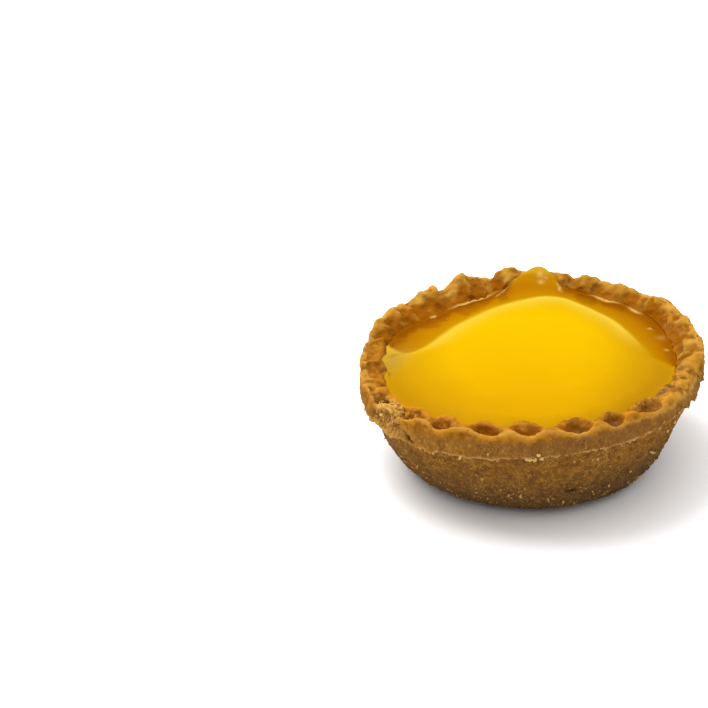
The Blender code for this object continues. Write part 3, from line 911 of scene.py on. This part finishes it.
# The tongue runs up over the rim, rounds off there and hangs down a little
across = beside_tongue(r, angle) / read(TONGUE_HALF_WIDTH, r)
along = r + (TONGUE_END - tongue_end) * rising(r, 30.5, 2.5)
crest = read(TONGUE_TOP, along) - rising(r, 28.0, 4.0) * np.minimum(across ** 2, 1.3)
z += on_tongue * rising(r, 25.5, 4.0) * (crest - z)
sunk = CURD_TOP - height
hidden = rising(sunk, 5.6, 1.0)
side_r = r - 0.12 * sunk / 3.4 - np.maximum(sunk - 3.4, 0.0) * (0.65 + 2.5 * on_tongue)
side_z = z - 0.3 * sunk - 1.3 * on_tongue * np.maximum(1.0 - across ** 2, 0.0) * falling(sunk, 4.8, 1.0)
r = np.where(top, r, side_r * (1.0 - hidden) + radius * hidden)
z = np.where(top, z, side_z * (1.0 - hidden) + height * hidden)
points = np.stack([r * np.cos(np.radians(angle)), r * np.sin(np.radians(angle)), z], axis=1)
set_points(curd, points)
only(curd)
bpy.ops.object.shade_smooth()

# What the curd's material reads: first its amber back edge, how deep into that, and its tongue
radius, angle, height = polar(points)
# The amber edge is partly painted: the far rim's reflection, darkest next to the crust, over the curd's
# deeper colour where it thins
amber = smooth((radius - shoulder) / read(BOUNDARY_WIDTH, angle) + 0.5) * (height > 17.0)
past_end = away(angle, read(LOBE_END, radius))
amber *= 1.0 - smooth(past_end / 3.5 + 0.5) * (np.abs(away(angle, 185.0)) < 60.0)
depth = np.clip((radius - shoulder) / np.maximum(reach - shoulder, 1.0), 0.0, 1.0)
over_rim = on_tongue * rising(radius, 28.0, 3.0)
paint(curd, "amber", amber)
paint(curd, "deep", depth * (1.0 - 0.8 * over_rim) * (1.0 - 0.4 * on_tongue))
paint(curd, "olive", over_rim * (0.6 + 0.4 * rising(radius, 30.9, 1.6)))

# Then the painted sheen where the dome ends, the milky patch at the left, and painted shade at the sides and
# to the right
sheen_band = bell((np.maximum(shoulder - radius, 0.0), 2.7)) * (1.0 - amber) * stretch(angle, *SHEEN_BAND_AT)
side_on = np.abs(np.cos(np.radians(angle)))
shade = 0.9 * np.clip((radius - 16.0) / 13.0, 0.0, 1.0) * (0.35 + 0.65 * side_on)
shade += 0.35 * rising(points[:, 0], 8.0, 14.0)
paint(curd, "sheen_band", sheen_band)
paint(curd, "milky", 0.9 * bell((away(angle, 182.0), 10.5), (radius - 27.8, 3.2)))
paint(curd, "shade", np.clip(shade, 0.0, 1.0))

# Then the painted glints: lines along the curd's edge at the crust, on the drops, and down each side of the
# tongue
glint = np.zeros_like(angle)
for start, end, width, strength in GLINT_LINES:
    middle = 0.5 * (start + end)
    taper = smooth(1.15 - np.abs(away(angle, middle)) / abs(end - middle))
    glint = np.maximum(glint, strength * taper * bell((edge - radius - INTO_CRUST, width)))
for turn, from_axis, size, strength in GLINTING_DROPS:
    drop = bell((away(angle, turn) * np.radians(from_axis), size), (radius - from_axis, size))
    glint = np.maximum(glint, strength * drop * top)
aside = beside_tongue(radius, angle)
tongue_glint = bell((np.abs(aside) - read(TONGUE_HALF_WIDTH, radius) + 0.4, 0.3))
left_part = rising(radius, 27.6, 0.8) * falling(radius, 31.4, 0.8)
right_part = rising(radius, 27.9, 0.4) * falling(radius, 30.2, 0.4)
paint(curd, "glint", np.maximum(glint, 0.9 * tongue_glint * np.where(aside > 0.0, left_part, right_part) * top))

# The curd's colours, as linear red, green and blue
DOME_BACK, DOME_FRONT_SHADED, DOME_CLOUDS = (0.615, 0.368, 0.001), (0.535, 0.274, 0.001), (0.64, 0.375, 0.002)
SHADED_SIDES = (0.395, 0.190, 0.004)
SHEEN, SHEEN_BRIGHTEST = (0.60, 0.410, 0.046), (0.68, 0.490, 0.090)
AMBER_NEAR, AMBER_FAR, AMBER_DEEP = (0.378, 0.168, 0.001), (0.345, 0.128, 0.001), (0.224, 0.064, 0.001)
TONGUE, TONGUE_LIT = (0.350, 0.152, 0.002), (0.475, 0.272, 0.014)
MILKY, GLINT_COLOUR = (0.345, 0.205, 0.034), (0.62, 0.38, 0.10)


def lemon_curd(name):
    """Set curd: clear yellow with painted shade towards its front and edges, a painted sheen and glints, and
    amber where it thins out along the back, with the far rim's reflection painted in.
    """
    material, shader, place = new_material(name, Roughness=0.12, IOR=1.42, Specular_IOR_Level=0.0,
                                           Specular_Tint=(1.0, 0.9, 0.0, 1.0), Metallic=0.34)
    # Painted shade: the dome darker towards the front
    colour = place.part("Y").between(0.020, -0.028).mix(DOME_BACK, DOME_FRONT_SHADED)
    colour = (grain(place, 9.0).between(0.35, 0.75) * 0.2).mix(colour, DOME_CLOUDS)
    colour = painted(place, "shade").mix(colour, SHADED_SIDES)
    # A painted sheen just inside where the dome ends
    sheen = painted(place, "sheen_band")
    colour = (sheen * 0.9).mix(colour, SHEEN)
    colour = (sheen.between(0.8, 1.0) * 0.45).mix(colour, SHEEN_BRIGHTEST)
    deep = painted(place, "deep")
    # The amber edge: the far rim's painted reflection, darkest next to the crust
    amber = deep.between(0.0, 0.45).mix(AMBER_NEAR, AMBER_FAR)
    amber = deep.between(0.35, 1.0).mix(amber, AMBER_DEEP)
    colour = painted(place, "amber").mix(colour, amber)
    olive = painted(place, "olive")
    colour = (olive.between(0.0, 0.6) * 0.8).mix(colour, TONGUE)
    colour = (olive.between(0.6, 1.0) * 0.75).mix(colour, TONGUE_LIT)
    colour = (painted(place, "milky") * 0.8).mix(colour, MILKY)
    # Painted glints along the crust, on the drops and beside the tongue
    feed(shader, "Base Color", painted(place, "glint").mix(colour, GLINT_COLOUR))
    ripples = grain(place, 6.0, 1.0) * 0.6 + grain(place, 1.4) * 0.12
    feed(shader, "Normal", bumps(place, 0.35, 0.2, ripples))
    return material


curd.data.materials.append(lemon_curd("set_lemon_curd"))
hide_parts("lemon_curd")
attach(curd, "root")


# ---- Table, light and camera --------------------------------------------------------------------
# A plain white table top under a large soft light from above, behind and the left, in a pale room
# that is brightest above and behind, and a camera that looks down at the tart from its front.

# In metres, because the room is far larger than the tart; the lens and its sensor are in mm
TABLE_RADIUS, TABLE_DROP = 2.5, 0.00002
TABLE_DARK, TABLE_LIGHT = (0.94, 0.94, 0.935), (0.96, 0.96, 0.955)
ROOM_FRONT, ROOM_BACK, ROOM_ABOVE = (0.46, 0.46, 0.47), (1.15, 1.15, 1.15), (1.48, 1.48, 1.48)
LIGHT_PLACE, LIGHT_WIDTH, LIGHT_WATTS = (-0.30, 0.14, 0.62), 0.5, 4.4
CAMERA_PLACE, CAMERA_DOWN, CAMERA_TURN = (0.0, -0.6132595, 0.3495096), 28.09727, 3.31875
CAMERA_LENS, CAMERA_SENSOR = 176.19, 36.0

bpy.ops.object.select_all(action="DESELECT")
bpy.ops.mesh.primitive_circle_add(vertices=64, radius=TABLE_RADIUS, fill_type="NGON",
                                  location=(0.0, 0.0, -TABLE_DROP))
floor = bpy.context.active_object
floor.name = "floor"
material, shader, place = new_material("white_table", Roughness=0.6)
feed(shader, "Base Color", grain(place, 60.0).mix(TABLE_DARK, TABLE_LIGHT))
floor.data.materials.append(material)

world = bpy.data.worlds.new("white_room")
bpy.context.scene.world = world
world.use_nodes = True
toward = Wire(world.node_tree).add("ShaderNodeTexCoord", {}, {}, "Generated")
around = toward.part("Y").between(-0.5, 0.7).mix(ROOM_FRONT, ROOM_BACK)
room = toward.part("Z").between(0.3, 0.95).mix(around, ROOM_ABOVE)
feed(world.node_tree.nodes["Background"], "Color", room)

# The light is turned towards the tart, and the glossy curd doesn't show it
lamp = bpy.data.lights.new("window", "AREA")
lamp.size = LIGHT_WIDTH
lamp.energy = LIGHT_WATTS
window = bpy.data.objects.new("window", lamp)
window.location = LIGHT_PLACE
window.rotation_euler = (-Vector(LIGHT_PLACE)).to_track_quat("-Z", "Y").to_euler()
window.visible_glossy = False
bpy.context.scene.collection.objects.link(window)

lens = bpy.data.cameras.new("camera")
lens.lens = CAMERA_LENS
lens.sensor_width = CAMERA_SENSOR
lens.clip_start = 0.01
camera = bpy.data.objects.new("camera", lens)
camera.location = CAMERA_PLACE
camera.rotation_euler = (math.radians(90.0 - CAMERA_DOWN), 0.0, math.radians(CAMERA_TURN))
bpy.context.scene.collection.objects.link(camera)
bpy.context.scene.camera = camera
bpy.context.scene.view_settings.view_transform = "Standard"
bpy.context.scene.view_settings.look = "None"
